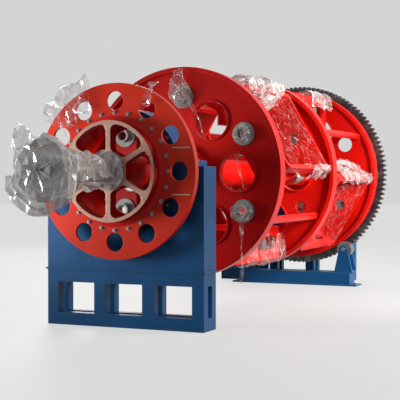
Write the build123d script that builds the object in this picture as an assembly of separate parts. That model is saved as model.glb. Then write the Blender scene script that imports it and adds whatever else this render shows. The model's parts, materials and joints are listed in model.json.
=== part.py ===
"""Cable laying-up machine: a rotor with three discs and six bobbin cradles, on two welded stands.

Millimetres. +Z is up, +Y runs along the machine from the lay plate at the nose to the drive at the
rear, and the drive stands on the -X side. The origin is on the floor, under the middle of the front stand.
Angles round the rotor are clockwise from the top, as seen from the nose: 90 degrees is +X.
"""
import os
from math import acos, cos, pi, radians, sin, tan

from build123d import *

# Rotor: one axis, three discs, two bays
AXIS_HEIGHT = 1600
TUBE_RADIUS = 170
TUBE_WALL = 25
TUBE_REAR_OVERHANG = 100
RUNNING_FIT = 0.05
FACE_GAP = 0.3

DISC_COUNT = 3
DISC_RADIUS = 1200
DISC_PLATE = 40
DISC_RIM_WIDTH = 150
DISC_RIM_WALL = 50
DISC_HUB_RADIUS = 300
DISC_HUB_LENGTH = 200
FIRST_DISC_Y = 1320
DISC_PITCH = 1950
LARGE_HOLE_RADIUS = 215
LARGE_HOLE_PLACE = 675
HOLES_ROUND = 6
HOLE_COLLAR_WALL = 15
HOLE_COLLAR_LENGTH = 90

# Guide bushes for the strands, one on each small hole of the first disc
BUSH_FLANGE_RADIUS = 130
BUSH_FLANGE = 20
BUSH_RADIUS = 75
BUSH_LENGTH = 70
BUSH_BORE = 45
BUSH_MOUTH = 18

# Cradles: three in each bay, square to their radii
CRADLES_PER_BAY = 3
CRADLE_PLACE = 860
CRADLE_WIDTH = 1100
CRADLE_LENGTH = 1500
CRADLE_DEPTH = 400
CRADLE_SIDE = 50
CRADLE_END = 50
CRADLE_CORNER = 90
TRUNNION_RADIUS = 105
TRUNNION_BORE = 70
PINTLE_BOSS_RADIUS = 120
PINTLE_BOSS_LENGTH = 40
PINTLE_RADIUS = 45
PINTLE_LENGTH = 40
PINTLE_TAPER = 25
PINTLE_OUTREACH = 30
PINTLE_HEAD_RADIUS = 70
PINTLE_HEAD = 30
SIDE_SLOT_LENGTH = 400
SIDE_SLOT_WIDTH = 170
TRUNNION_FLANGE_RADIUS = 160
TRUNNION_FLANGE = 25

# Tie tubes between the discs, midway between the cradles
TIE_PLACE = 1080
TIE_RADIUS = 45
TIE_FLANGE_RADIUS = 65
TIE_FLANGE = 15

# Front stand, its bearing and the journal drum that turns in it
STAND_WIDTH = 1800
STAND_DEPTH = 300
STAND_TOP = 1650
LOWER_FRAME_HEIGHT = 600
POST_WIDTH = 130
POST_DEPTH = 100
TOP_RAIL = 150
BOTTOM_RAIL = 130
SOLE_PLATE = 20
LEDGE = 20
LEDGE_PROUD = 15
STAND_WINDOWS = 3
ANCHOR_SPACING = 1400
REAR_ANCHOR_SPACING = 900
ANCHOR_RADIUS = 13

BEARING_BORE = 560
BEARING_WALL = 80
BEARING_PROUD = 15
CAP_EAR = 60
CAP_EAR_REACH = 160
DRUM_WALL = 40
DRUM_FLANGE_RADIUS = 610
DRUM_FLANGE = 28
DRUM_REAR_REACH = 65

# Ring plate and spoked wheel on the drum
RING_STANDOFF = 180
RING_RADIUS = 890
RING_PLATE = 30
RING_LIP = 20
RING_LIP_DEPTH = 45
RING_HOLES = 12
RING_HOLE_RADIUS = 95
RING_HOLE_PLACE = 712
STRAP_PLACE = 230
STRAP_INSIDE = 640
STRAP_OUTSIDE = 840
STRAP_WIDTH = 12
STRAP_PROUD = 10
WHEEL_AHEAD = 140
WHEEL_PLATE = 120
WHEEL_RADIUS = 510
WHEEL_HUB = 200
WHEEL_RIM = 35
REAR_WHEEL_PLATE = 40
SPOKE_WIDTH = 50
SPOKES = 6
WINDOW_FILLET = 60

# Nose: tapered hollow shaft with the lay plate on its end
NOSE_LENGTH = 1170
NOSE_FLANGE_RADIUS = 190
NOSE_FLANGE = 30
NOSE_ROOT_RADIUS = 110
NOSE_TIP_RADIUS = 80
NOSE_NECK_RADIUS = 70
NOSE_BORE = 40
LAY_PLATE_RADIUS = 290
LAY_PLATE = 30
LAY_HOLES = 12
LAY_HOLE_RADIUS = 18
LAY_HOLE_PLACE = 230
LAY_NUT_RADIUS = 105
LAY_NUT = 40

# Ring gear behind the last disc, and its pinion
GEAR_MODULE = 22
GEAR_TEETH = 116
PINION_TEETH = 16
GEAR_WIDTH = 110
GEAR_NECK = 55
GEAR_NECK_RADIUS = 1190
GEAR_BORE = 1150
GEAR_BACKLASH = 1.2
GEAR_ADDENDUM = 0.9
GEAR_DEDENDUM = 1.2
PRESSURE_ANGLE = radians(20)
DRIVE_SIDE = -1
PINION_ANGLE = DRIVE_SIDE * 130
PINION_SHAFT_RADIUS = 50
PINION_EXTRA_WIDTH = 10

# Support rollers under the last disc, on a base of their own
ROLLER_ANGLE = 145
ROLLER_RADIUS = 110
ROLLER_WIDTH = 120
ROLLER_GAP = 0.4
AXLE_RADIUS = 28
COLLAR_RADIUS = 45
CHEEK_GAP = 10
CHEEK = 30
CHEEK_RADIUS = 60
CHEEK_FOOT_WIDTH = 260
BRACKET_FOOT = 20
BRACKET_WEB = 20
BRACKET_WEB_CLEARANCE = 30
ROLLER_BASE_WIDTH = 1900
ROLLER_BASE_DEPTH = 300
ROLLER_BASE_HEIGHT = 190
ROLLER_BASE_PLATE = 20
ROLLER_BASE_LEDGE = 100
ROLLER_BASE_INSET = 30
ROLLER_ANCHOR_INSET = 50

# Rear stand
REAR_STAND_BEHIND = 780
REAR_STAND_WIDTH = 1300
REAR_STAND_WINDOWS = 2
REAR_BEARING_WALL = 90

# Drive beside the rear stand
GEARBOX_WIDTH = 360
GEARBOX_HEIGHT = 460
GEARBOX_LENGTH = 380
GEARBOX_GAP = 55
GEARBOX_CORNER = 40
SHAFT_SEAT = 80
GUARD_RADIUS = 90
GUARD_LENGTH = 90
MOTOR_RADIUS = 165
MOTOR_LENGTH = 520
MOTOR_FOOT_WIDTH = 260
MOTOR_SHIELD = 40
MOTOR_SHIELD_RIM = 12
TERMINAL_BOX_WIDTH = 160
TERMINAL_BOX_LENGTH = 180
TERMINAL_BOX_RISE = 90
GEARBOX_BOSS_RADIUS = 110
GEARBOX_BOSS = 30
GEARBOX_FLANGE = 30
GEARBOX_FLANGE_REACH = 20
PLINTH_WALL = 40
PLINTH_MARGIN = 20
PLINTH_TIE_WIDTH = 100
PLINTH_TIE_HEIGHT = 100

# Derived places
RING_FACE_Y = -STAND_DEPTH / 2 - RING_STANDOFF
RING_BACK_Y = RING_FACE_Y + RING_PLATE
WHEEL_FACE_Y = RING_FACE_Y - WHEEL_AHEAD
WHEEL_BACK_Y = WHEEL_FACE_Y + WHEEL_PLATE
JOURNAL_RADIUS = BEARING_BORE - RUNNING_FIT
DRUM_REAR_Y = STAND_DEPTH / 2 + BEARING_PROUD + DRUM_REAR_REACH
DISC_YS = [FIRST_DISC_Y + k * DISC_PITCH for k in range(DISC_COUNT)]
LAST_DISC_Y = DISC_YS[-1]
REAR_STAND_Y = LAST_DISC_Y + REAR_STAND_BEHIND
TUBE_REAR_Y = REAR_STAND_Y + STAND_DEPTH / 2 + TUBE_REAR_OVERHANG
TUBE_BORE = TUBE_RADIUS - TUBE_WALL
LAY_SHOULDER_Y = WHEEL_FACE_Y - NOSE_LENGTH
GEAR_Y = LAST_DISC_Y + DISC_RIM_WIDTH / 2 + GEAR_NECK
GEAR_PITCH_RADIUS = GEAR_MODULE * GEAR_TEETH / 2
PINION_PITCH_RADIUS = GEAR_MODULE * PINION_TEETH / 2
PINION_PLACE = GEAR_PITCH_RADIUS + PINION_PITCH_RADIUS
ROLLER_PLACE = DISC_RADIUS + ROLLER_GAP + ROLLER_RADIUS


def around(radius, angle):
    """x and z of a point on the rotor, clockwise from the top as seen from the nose"""
    return radius * sin(radians(angle)), AXIS_HEIGHT + radius * cos(radians(angle))


def facing(y, x=0, z=AXIS_HEIGHT):
    """plane square to the machine's axis: its first axis is +X and its second points down"""
    return Plane(origin=(x, y, z), x_dir=(1, 0, 0), z_dir=(0, 1, 0))


def on_face(radius, angle):
    """place on a facing() plane at the rotor's axis"""
    return Pos(radius * sin(radians(angle)), -radius * cos(radians(angle)))


def plate(sketch, y_front, y_back, x=0, z=AXIS_HEIGHT):
    """a sketch square to the axis, made as thick as the stretch from y_front to y_back"""
    return extrude(facing(y_front, x, z) * sketch, y_back - y_front)


def ring(outer, inner, y_front, y_back, x=0, z=AXIS_HEIGHT):
    return plate(Circle(outer) - Circle(inner), y_front, y_back, x, z)


def turned(points):
    """solid of revolution about the rotor's axis from (radius, y) points"""
    profile = Plane(origin=(0, 0, AXIS_HEIGHT)) * make_face(Polyline(*points, close=True))
    return revolve(profile, Axis((0, 0, AXIS_HEIGHT), (0, 1, 0)))


def block(x0, x1, y0, y1, z0, z1):
    return Pos((x0 + x1) / 2, (y0 + y1) / 2, (z0 + z1) / 2) * Box(x1 - x0, y1 - y0, z1 - z0)


def swung(shape, angle):
    """a piece made at the top of the rotor, carried round to its angle"""
    return shape.rotate(Axis((0, 0, AXIS_HEIGHT), (0, 1, 0)), angle)


def save(name, *solids):
    """one solid, or solids that do not touch, as the node of that name"""
    shape = solids[0] if len(solids) == 1 else Compound(children=list(solids))
    export_step(shape, f"parts/{name}.step")


# Rotor

def spoke_windows(inner, outer):
    """rounded sectors between the spokes, one spoke upright"""
    sketch = Circle(outer) - Circle(inner)
    for k in range(SPOKES // 2):
        sketch -= Rot(0, 0, k * 360 / SPOKES) * Rectangle(SPOKE_WIDTH, 3 * outer)
    return fillet(sketch.vertices(), WINDOW_FILLET)


def journal_drum():
    flange_back = RING_BACK_Y + DRUM_FLANGE
    return turned([
        (JOURNAL_RADIUS - DRUM_WALL, DRUM_REAR_Y),
        (JOURNAL_RADIUS, DRUM_REAR_Y),
        (JOURNAL_RADIUS, flange_back),
        (DRUM_FLANGE_RADIUS, flange_back),
        (DRUM_FLANGE_RADIUS, RING_BACK_Y),
        (JOURNAL_RADIUS, RING_BACK_Y),
        (JOURNAL_RADIUS, RING_FACE_Y),
        (WHEEL_RADIUS, WHEEL_BACK_Y),
        (WHEEL_RADIUS - DRUM_WALL, WHEEL_BACK_Y),
        (JOURNAL_RADIUS - DRUM_WALL, RING_FACE_Y),
    ])


def ring_plate():
    face = Circle(RING_RADIUS) - Circle(JOURNAL_RADIUS)
    for k in range(RING_HOLES):
        face -= on_face(RING_HOLE_PLACE, k * 360 / RING_HOLES) * Circle(RING_HOLE_RADIUS)
    lip = ring(RING_RADIUS, RING_RADIUS - RING_LIP, RING_BACK_Y, RING_BACK_Y + RING_LIP_DEPTH)
    straps = Sketch() + [
        Pos(x * (STRAP_INSIDE + STRAP_OUTSIDE) / 2, z * STRAP_PLACE)
        * Rectangle(STRAP_OUTSIDE - STRAP_INSIDE, STRAP_WIDTH)
        for x in (-1, 1) for z in (-1, 1)
    ]
    return plate(face, RING_FACE_Y, RING_BACK_Y) + lip + plate(straps, RING_FACE_Y - STRAP_PROUD, RING_FACE_Y)


def front_spoke_wheel():
    face = Circle(WHEEL_RADIUS) - Circle(TUBE_BORE) - spoke_windows(WHEEL_HUB, WHEEL_RADIUS - WHEEL_RIM)
    return plate(face, WHEEL_FACE_Y, WHEEL_BACK_Y)


def rear_spoke_wheel():
    rim = JOURNAL_RADIUS - DRUM_WALL
    face = Circle(rim) - Circle(TUBE_RADIUS) - spoke_windows(WHEEL_HUB, WHEEL_RADIUS - WHEEL_RIM)
    return plate(face, DRUM_REAR_Y - REAR_WHEEL_PLATE, DRUM_REAR_Y)


def nose_shaft():
    flange_front = WHEEL_FACE_Y - NOSE_FLANGE
    tip = LAY_SHOULDER_Y - LAY_PLATE - LAY_NUT
    return turned([
        (NOSE_BORE, WHEEL_FACE_Y),
        (NOSE_FLANGE_RADIUS, WHEEL_FACE_Y),
        (NOSE_FLANGE_RADIUS, flange_front),
        (NOSE_ROOT_RADIUS, flange_front),
        (NOSE_TIP_RADIUS, LAY_SHOULDER_Y),
        (NOSE_NECK_RADIUS, LAY_SHOULDER_Y),
        (NOSE_NECK_RADIUS, tip),
        (NOSE_BORE, tip),
    ])


def lay_plate():
    face = Circle(LAY_PLATE_RADIUS) - Circle(NOSE_NECK_RADIUS)
    for k in range(LAY_HOLES):
        face -= on_face(LAY_HOLE_PLACE, k * 360 / LAY_HOLES) * Circle(LAY_HOLE_RADIUS)
    return plate(face, LAY_SHOULDER_Y - LAY_PLATE, LAY_SHOULDER_Y)


def lay_nut():
    front = LAY_SHOULDER_Y - LAY_PLATE - LAY_NUT
    sketch = RegularPolygon(LAY_NUT_RADIUS, 6) - Circle(NOSE_NECK_RADIUS)
    return plate(sketch, front, front + LAY_NUT)


def disc(y):
    half_plate = DISC_PLATE / 2
    half_rim = DISC_RIM_WIDTH / 2
    half_hub = DISC_HUB_LENGTH / 2
    rim_inside = DISC_RADIUS - DISC_RIM_WALL
    body = turned([
        (TUBE_RADIUS, y - half_hub),
        (DISC_HUB_RADIUS, y - half_hub),
        (DISC_HUB_RADIUS, y - half_plate),
        (rim_inside, y - half_plate),
        (rim_inside, y - half_rim),
        (DISC_RADIUS, y - half_rim),
        (DISC_RADIUS, y + half_rim),
        (rim_inside, y + half_rim),
        (rim_inside, y + half_plate),
        (DISC_HUB_RADIUS, y + half_plate),
        (DISC_HUB_RADIUS, y + half_hub),
        (TUBE_RADIUS, y + half_hub),
    ])
    step = 360 / HOLES_ROUND
    large = Sketch() + [on_face(LARGE_HOLE_PLACE, (k + 0.5) * step) * Circle(LARGE_HOLE_RADIUS)
                        for k in range(HOLES_ROUND)]
    small = Sketch() + [on_face(CRADLE_PLACE, k * step) * Circle(TRUNNION_RADIUS) for k in range(HOLES_ROUND)]
    collars = offset(large, HOLE_COLLAR_WALL)
    body += plate(collars, y - HOLE_COLLAR_LENGTH / 2, y + HOLE_COLLAR_LENGTH / 2)
    return body - plate(large + small, y - half_rim, y + half_rim)


def guide_bush(angle):
    """flanged bush with a rounded mouth, on the front of the first disc's plate"""
    x, z = around(CRADLE_PLACE, angle)
    face = FIRST_DISC_Y - DISC_PLATE / 2
    shoulder = face - BUSH_FLANGE
    front = shoulder - BUSH_LENGTH
    profile = Polyline((BUSH_BORE, face), (BUSH_FLANGE_RADIUS, face), (BUSH_FLANGE_RADIUS, shoulder),
                       (BUSH_RADIUS, shoulder), (BUSH_RADIUS, front), (BUSH_BORE + BUSH_MOUTH, front))
    mouth = RadiusArc(profile @ 1, (BUSH_BORE, front + BUSH_MOUTH), BUSH_MOUTH)
    outline = make_face(Plane(origin=(x, 0, z)) * (profile + mouth + Line(mouth @ 1, (BUSH_BORE, face))))
    return revolve(outline, Axis((x, 0, z), (0, 1, 0)))


def bay_middle(bay):
    return (DISC_YS[bay] + DISC_YS[bay + 1]) / 2


def cradle_angle(bay, k):
    """the first bay starts half a step on, so that the two bays are staggered"""
    step = 360 / CRADLES_PER_BAY
    return (k + 0.5 * (1 - bay)) * step


def cradle_plane(bay):
    """plane through the pintles of a cradle at the top, square to them"""
    origin = (0, bay_middle(bay), AXIS_HEIGHT + CRADLE_PLACE)
    return Plane(origin=origin, x_dir=(0, 1, 0), z_dir=(1, 0, 0))


def cradle(bay, angle):
    """bobbin frame between two discs: its two sides with their corners, and its two ends, each with
    a hollow trunnion through the disc's plate"""
    middle = bay_middle(bay)
    z = AXIS_HEIGHT + CRADLE_PLACE
    outline = RectangleRounded(CRADLE_WIDTH, CRADLE_LENGTH, CRADLE_CORNER)
    inside = Rectangle(CRADLE_WIDTH - 2 * CRADLE_SIDE, CRADLE_LENGTH - 2 * CRADLE_END)
    inside = fillet(inside.vertices(), CRADLE_CORNER - CRADLE_SIDE)
    frame = extrude(Pos(0, middle, z - CRADLE_DEPTH / 2) * (outline - inside), CRADLE_DEPTH)
    half = CRADLE_WIDTH / 2
    across = cradle_plane(bay)
    boss_root = half - CRADLE_SIDE
    bosses = extrude(across * Circle(PINTLE_BOSS_RADIUS), boss_root, both=True)
    bosses -= extrude(across * Circle(2 * PINTLE_BOSS_RADIUS), boss_root - PINTLE_BOSS_LENGTH, both=True)
    slots = Sketch() + [
        Pos(side * CRADLE_LENGTH / 4, 0) * SlotOverall(SIDE_SLOT_LENGTH, SIDE_SLOT_WIDTH) for side in (-1, 1)
    ]
    cuts = extrude(across * (slots + Circle(PINTLE_RADIUS)), half, both=True)
    end = CRADLE_LENGTH / 2
    plate_near = (DISC_PITCH - DISC_PLATE) / 2
    plate_far = (DISC_PITCH + DISC_PLATE) / 2
    flange_back = plate_near - TRUNNION_FLANGE
    trunnions = [
        ring(TRUNNION_RADIUS, TRUNNION_BORE, middle - plate_far, middle - end, z=z),
        ring(TRUNNION_RADIUS, TRUNNION_BORE, middle + end, middle + plate_far, z=z),
        ring(TRUNNION_FLANGE_RADIUS, TRUNNION_BORE, middle - plate_near, middle - flange_back, z=z),
        ring(TRUNNION_FLANGE_RADIUS, TRUNNION_BORE, middle + flange_back, middle + plate_near, z=z),
    ]
    bore = plate(Circle(TRUNNION_BORE), middle - end, middle + end, z=z)
    whole = frame + bosses - cuts + trunnions - bore
    seam = Plane.YZ.offset(half - CRADLE_CORNER)
    far_seam = Plane.YZ.offset(CRADLE_CORNER - half)
    left_of_seam = split(whole, seam, Keep.BOTTOM)
    sides = [split(whole, seam, Keep.TOP), split(left_of_seam, far_seam, Keep.BOTTOM)]
    ends = split(left_of_seam, far_seam, Keep.TOP).solids()
    return [swung(side, angle) for side in sides], [swung(end_plate, angle) for end_plate in ends]


def pintles(bay, angle):
    """the two centres that carry a bobbin, drawn back, each through a side of one cradle"""
    across = cradle_plane(bay)
    inner = CRADLE_WIDTH / 2 - CRADLE_SIDE - PINTLE_BOSS_LENGTH
    outer = CRADLE_WIDTH / 2 + PINTLE_OUTREACH
    stem = extrude(across.offset(inner) * Circle(PINTLE_RADIUS), outer - inner)
    tip = extrude(across.offset(inner) * Circle(PINTLE_RADIUS), -PINTLE_LENGTH, taper=PINTLE_TAPER)
    head = extrude(across.offset(outer) * RegularPolygon(PINTLE_HEAD_RADIUS, 6), PINTLE_HEAD)
    pintle = stem + tip + head
    return [swung(pintle, angle), swung(pintle.mirror(Plane.YZ), angle)]


def tie_tubes():
    """closed tubes between the discs, and the flange on each end of each of them"""
    tubes, flanges = [], []
    for bay in range(DISC_COUNT - 1):
        front = DISC_YS[bay] + DISC_PLATE / 2
        back = DISC_YS[bay + 1] - DISC_PLATE / 2
        for k in range(CRADLES_PER_BAY):
            x, z = around(TIE_PLACE, cradle_angle(bay, k + 0.5))
            tubes.append(plate(Circle(TIE_RADIUS), front + TIE_FLANGE, back - TIE_FLANGE, x, z))
            flanges.append(plate(Circle(TIE_FLANGE_RADIUS), front, front + TIE_FLANGE, x, z))
            flanges.append(plate(Circle(TIE_FLANGE_RADIUS), back - TIE_FLANGE, back, x, z))
    return tubes, flanges


def involute(angle):
    return tan(angle) - angle


def gear_outline(teeth, phase):
    """outline of a spur gear with involute flanks, thinned by half the backlash at the pitch circle"""
    pitch = GEAR_MODULE * teeth / 2
    base = pitch * cos(PRESSURE_ANGLE)
    root, tip = pitch - GEAR_DEDENDUM * GEAR_MODULE, pitch + GEAR_ADDENDUM * GEAR_MODULE
    half_at_pitch = (pi * GEAR_MODULE - GEAR_BACKLASH) / 4 / pitch
    flank = []
    for radius in (root, pitch, tip):
        pressure = acos(base / max(radius, base))
        flank.append((radius, half_at_pitch + involute(PRESSURE_ANGLE) - involute(pressure)))
    points = []
    for k in range(teeth):
        middle = radians(phase + k * 360 / teeth)
        for radius, half in flank:
            points.append((radius * sin(middle - half), -radius * cos(middle - half)))
        for radius, half in reversed(flank):
            points.append((radius * sin(middle + half), -radius * cos(middle + half)))
    return make_face(Polyline(*points, close=True))


def drive_ring():
    """ring gear on a neck behind the rim of the last disc"""
    neck = ring(GEAR_NECK_RADIUS, GEAR_BORE, GEAR_Y - GEAR_NECK, GEAR_Y)
    teeth = gear_outline(GEAR_TEETH, PINION_ANGLE) - Circle(GEAR_BORE)
    return neck + plate(teeth, GEAR_Y, GEAR_Y + GEAR_WIDTH)


def pinion():
    """pinion with its shaft, one of its tooth spaces on the line of centres"""
    x, z = around(PINION_PLACE, PINION_ANGLE)
    front = GEAR_Y - PINION_EXTRA_WIDTH / 2
    back = GEAR_Y + GEAR_WIDTH + PINION_EXTRA_WIDTH / 2
    phase = PINION_ANGLE + 180 + 180 / PINION_TEETH
    teeth = plate(gear_outline(PINION_TEETH, phase), front, back, x, z)
    return teeth + plate(Circle(PINION_SHAFT_RADIUS), back, back + GEARBOX_GAP + SHAFT_SEAT, x, z)


# Stands

def stand(y, width, windows, bearing_outer):
    """open lower frame and the panel above it, with a saddle for the bearing"""
    front, back = y - STAND_DEPTH / 2, y + STAND_DEPTH / 2
    half = width / 2
    sill, lintel = BOTTOM_RAIL, LOWER_FRAME_HEIGHT - TOP_RAIL
    base = block(-half, half, front, back, 0, LOWER_FRAME_HEIGHT)
    base += block(-half - LEDGE_PROUD, half + LEDGE_PROUD, front - LEDGE_PROUD, back + LEDGE_PROUD,
                  LOWER_FRAME_HEIGHT - LEDGE, LOWER_FRAME_HEIGHT)
    base -= block(-half + POST_WIDTH, half - POST_WIDTH, front + POST_DEPTH, back - POST_DEPTH,
                  SOLE_PLATE, lintel)
    base -= block(-half, half, front + POST_DEPTH, back - POST_DEPTH, sill, lintel)
    opening = (width - (windows + 1) * POST_WIDTH) / windows
    for k in range(windows):
        left = -half + POST_WIDTH + k * (opening + POST_WIDTH)
        base -= block(left, left + opening, front, back, sill, lintel)
    panel = block(-half, half, front, back, LOWER_FRAME_HEIGHT, STAND_TOP)
    panel -= plate(Circle(bearing_outer), front, back)
    return base, panel


def anchor_holes(y, spacing):
    sketch = Sketch()
    for x in (-spacing / 2, spacing / 2):
        sketch += Pos(x, y) * Circle(ANCHOR_RADIUS)
    return extrude(sketch, SOLE_PLATE)


def bearing_housing(y, bore, outer):
    """ring in the saddle of a stand, with an ear on each side that rests on the stand's top"""
    front, back = y - STAND_DEPTH / 2 - BEARING_PROUD, y + STAND_DEPTH / 2 + BEARING_PROUD
    reach = outer + CAP_EAR_REACH
    ears = block(-reach, reach, y - STAND_DEPTH / 2, y + STAND_DEPTH / 2, STAND_TOP, STAND_TOP + CAP_EAR)
    return ring(outer, bore, front, back) + (ears - plate(Circle(outer), front, back))


def roller_place(side):
    return around(ROLLER_PLACE, side * ROLLER_ANGLE)


def roller(y, side):
    """support roller with its axle and the collars that keep it between the cheeks"""
    x, z = roller_place(side)
    cheek_inside = DISC_RIM_WIDTH / 2 + CHEEK_GAP
    collar = cheek_inside - FACE_GAP
    axle = cheek_inside + CHEEK
    wheel = plate(Circle(ROLLER_RADIUS), y - ROLLER_WIDTH / 2, y + ROLLER_WIDTH / 2, x, z)
    wheel += plate(Circle(COLLAR_RADIUS), y - collar, y + collar, x, z)
    return wheel + plate(Circle(AXLE_RADIUS), y - axle, y + axle, x, z)


def roller_bracket(y, side):
    """foot on the roller base, with two cheeks that hold the roller's axle and a web between them"""
    x, z = roller_place(side)
    half = CHEEK_FOOT_WIDTH / 2
    inside = DISC_RIM_WIDTH / 2 + CHEEK_GAP
    foot_top = ROLLER_BASE_HEIGHT + BRACKET_FOOT
    foot = block(x - half, x + half, y - inside - CHEEK, y + inside + CHEEK, ROLLER_BASE_HEIGHT, foot_top)
    drop = z - foot_top
    flare = Pos(0, drop) * Rectangle(CHEEK_FOOT_WIDTH, BRACKET_FOOT)
    outline = make_hull(Circle(CHEEK_RADIUS).edges() + flare.edges())
    outline -= Pos(0, drop + BRACKET_FOOT) * Rectangle(2 * CHEEK_FOOT_WIDTH, 2 * BRACKET_FOOT)
    outline -= Circle(AXLE_RADIUS + RUNNING_FIT)
    for low in (-inside - CHEEK, inside):
        foot += plate(outline, y + low, y + low + CHEEK, x, z)
    web_top = z - ROLLER_RADIUS - BRACKET_WEB_CLEARANCE
    return foot + block(x - BRACKET_WEB / 2, x + BRACKET_WEB / 2, y - inside, y + inside, foot_top, web_top)


def roller_base(y):
    """low beam across the machine, on a foot plate that its anchors go through"""
    half, deep = ROLLER_BASE_WIDTH / 2, ROLLER_BASE_DEPTH / 2
    foot = block(-half, half, y - deep, y + deep, 0, ROLLER_BASE_PLATE)
    beam = block(ROLLER_BASE_LEDGE - half, half - ROLLER_BASE_LEDGE, y - deep + ROLLER_BASE_INSET,
                 y + deep - ROLLER_BASE_INSET, ROLLER_BASE_PLATE, ROLLER_BASE_HEIGHT)
    return foot + beam - anchor_holes(y, ROLLER_BASE_WIDTH - 2 * ROLLER_ANCHOR_INSET)


# Drive

DRIVE_X, DRIVE_Z = around(PINION_PLACE, PINION_ANGLE)
GEARBOX_Y = GEAR_Y + GEAR_WIDTH + PINION_EXTRA_WIDTH / 2 + GEARBOX_GAP
MOTOR_Y = GEARBOX_Y + GEARBOX_LENGTH + GUARD_LENGTH
PLINTH_TOP = DRIVE_Z - GEARBOX_HEIGHT / 2


def gearbox():
    """housing on a foot flange, with a boss round the shaft of the pinion"""
    back = GEARBOX_Y + GEARBOX_LENGTH
    profile = RectangleRounded(GEARBOX_WIDTH, GEARBOX_HEIGHT, GEARBOX_CORNER)
    body = plate(profile, GEARBOX_Y, back, DRIVE_X, DRIVE_Z)
    body += plate(Circle(GEARBOX_BOSS_RADIUS), GEARBOX_Y - GEARBOX_BOSS, GEARBOX_Y, DRIVE_X, DRIVE_Z)
    reach = GEARBOX_WIDTH / 2 + GEARBOX_FLANGE_REACH
    body += block(DRIVE_X - reach, DRIVE_X + reach, GEARBOX_Y, back, PLINTH_TOP, PLINTH_TOP + GEARBOX_FLANGE)
    return body - plate(Circle(PINION_SHAFT_RADIUS + RUNNING_FIT), GEARBOX_Y - GEARBOX_BOSS,
                        GEARBOX_Y + SHAFT_SEAT + FACE_GAP, DRIVE_X, DRIVE_Z)


def coupling_guard():
    return plate(Circle(GUARD_RADIUS), GEARBOX_Y + GEARBOX_LENGTH, MOTOR_Y, DRIVE_X, DRIVE_Z)


def motor():
    """barrel between two end shields, with feet below and a terminal box above"""
    back = MOTOR_Y + MOTOR_LENGTH
    shield = MOTOR_RADIUS + MOTOR_SHIELD_RIM
    body = plate(Circle(MOTOR_RADIUS), MOTOR_Y, back, DRIVE_X, DRIVE_Z)
    body += plate(Circle(shield), MOTOR_Y, MOTOR_Y + MOTOR_SHIELD, DRIVE_X, DRIVE_Z)
    body += plate(Circle(shield), back - MOTOR_SHIELD, back, DRIVE_X, DRIVE_Z)
    middle = (MOTOR_Y + back) / 2
    body += block(DRIVE_X - MOTOR_FOOT_WIDTH / 2, DRIVE_X + MOTOR_FOOT_WIDTH / 2,
                  middle - MOTOR_LENGTH / 4, middle + MOTOR_LENGTH / 4, PLINTH_TOP, DRIVE_Z)
    return body + block(DRIVE_X - TERMINAL_BOX_WIDTH / 2, DRIVE_X + TERMINAL_BOX_WIDTH / 2,
                        middle - TERMINAL_BOX_LENGTH / 2, middle + TERMINAL_BOX_LENGTH / 2,
                        DRIVE_Z, DRIVE_Z + MOTOR_RADIUS + TERMINAL_BOX_RISE)


def drive_plinth():
    """frame under the gearbox and the motor, tied to the side of the rear stand"""
    half = GEARBOX_WIDTH / 2 + PLINTH_MARGIN
    front, back = GEARBOX_Y - PLINTH_MARGIN, MOTOR_Y + MOTOR_LENGTH + PLINTH_MARGIN
    body = block(DRIVE_X - half, DRIVE_X + half, front, back, 0, PLINTH_TOP)
    body -= block(DRIVE_X - half, DRIVE_X + half, front + PLINTH_WALL, back - PLINTH_WALL,
                  PLINTH_WALL, PLINTH_TOP - PLINTH_WALL)
    stand_side = DRIVE_SIDE * REAR_STAND_WIDTH / 2
    far_side = DRIVE_X + DRIVE_SIDE * half
    return body + block(min(stand_side, far_side), max(stand_side, far_side),
                        REAR_STAND_Y - PLINTH_TIE_WIDTH / 2, REAR_STAND_Y + PLINTH_TIE_WIDTH / 2,
                        0, PLINTH_TIE_HEIGHT)


os.makedirs("parts", exist_ok=True)

save("journal_drum", journal_drum())
save("ring_plate", ring_plate())
save("front_spoke_wheel", front_spoke_wheel())
save("rear_spoke_wheel", rear_spoke_wheel())
save("nose_shaft", nose_shaft())
save("lay_plate", lay_plate())
save("lay_nut", lay_nut())
save("main_tube", ring(TUBE_RADIUS, TUBE_BORE, WHEEL_BACK_Y, TUBE_REAR_Y))
for k, y in enumerate(DISC_YS, 1):
    save(f"disc_{k}", disc(y))
for bay in range(DISC_COUNT - 1):
    end_plates, centres = [], []
    for k in range(CRADLES_PER_BAY):
        angle = cradle_angle(bay, k)
        sides, ends = cradle(bay, angle)
        save(f"cradle_{bay * CRADLES_PER_BAY + k + 1}", *sides)
        end_plates += ends
        centres += pintles(bay, angle)
    save(f"cradle_ends_{bay + 1}", *end_plates)
    save(f"pintles_{bay + 1}", *centres)
save("guide_bushes", *[guide_bush(k * 360 / HOLES_ROUND) for k in range(HOLES_ROUND)])
tubes, flanges = tie_tubes()
save("tie_tubes", *tubes)
save("tie_flanges", *flanges)
save("drive_ring", drive_ring())
save("pinion", pinion())

front_base, front_panel = stand(0, STAND_WIDTH, STAND_WINDOWS, BEARING_BORE + BEARING_WALL)
save("front_stand_base", front_base - anchor_holes(0, ANCHOR_SPACING))
save("front_stand_panel", front_panel)
save("front_bearing_housing", bearing_housing(0, BEARING_BORE, BEARING_BORE + BEARING_WALL))
rear_bore = TUBE_RADIUS + RUNNING_FIT
rear_outer = rear_bore + REAR_BEARING_WALL
rear_base, rear_panel = stand(REAR_STAND_Y, REAR_STAND_WIDTH, REAR_STAND_WINDOWS, rear_outer)
save("rear_stand_base", rear_base - anchor_holes(REAR_STAND_Y, REAR_ANCHOR_SPACING))
save("rear_stand_panel", rear_panel)
save("rear_bearing_housing", bearing_housing(REAR_STAND_Y, rear_bore, rear_outer))
save("roller_base", roller_base(LAST_DISC_Y))
save("roller_brackets", roller_bracket(LAST_DISC_Y, 1), roller_bracket(LAST_DISC_Y, -1))
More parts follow.
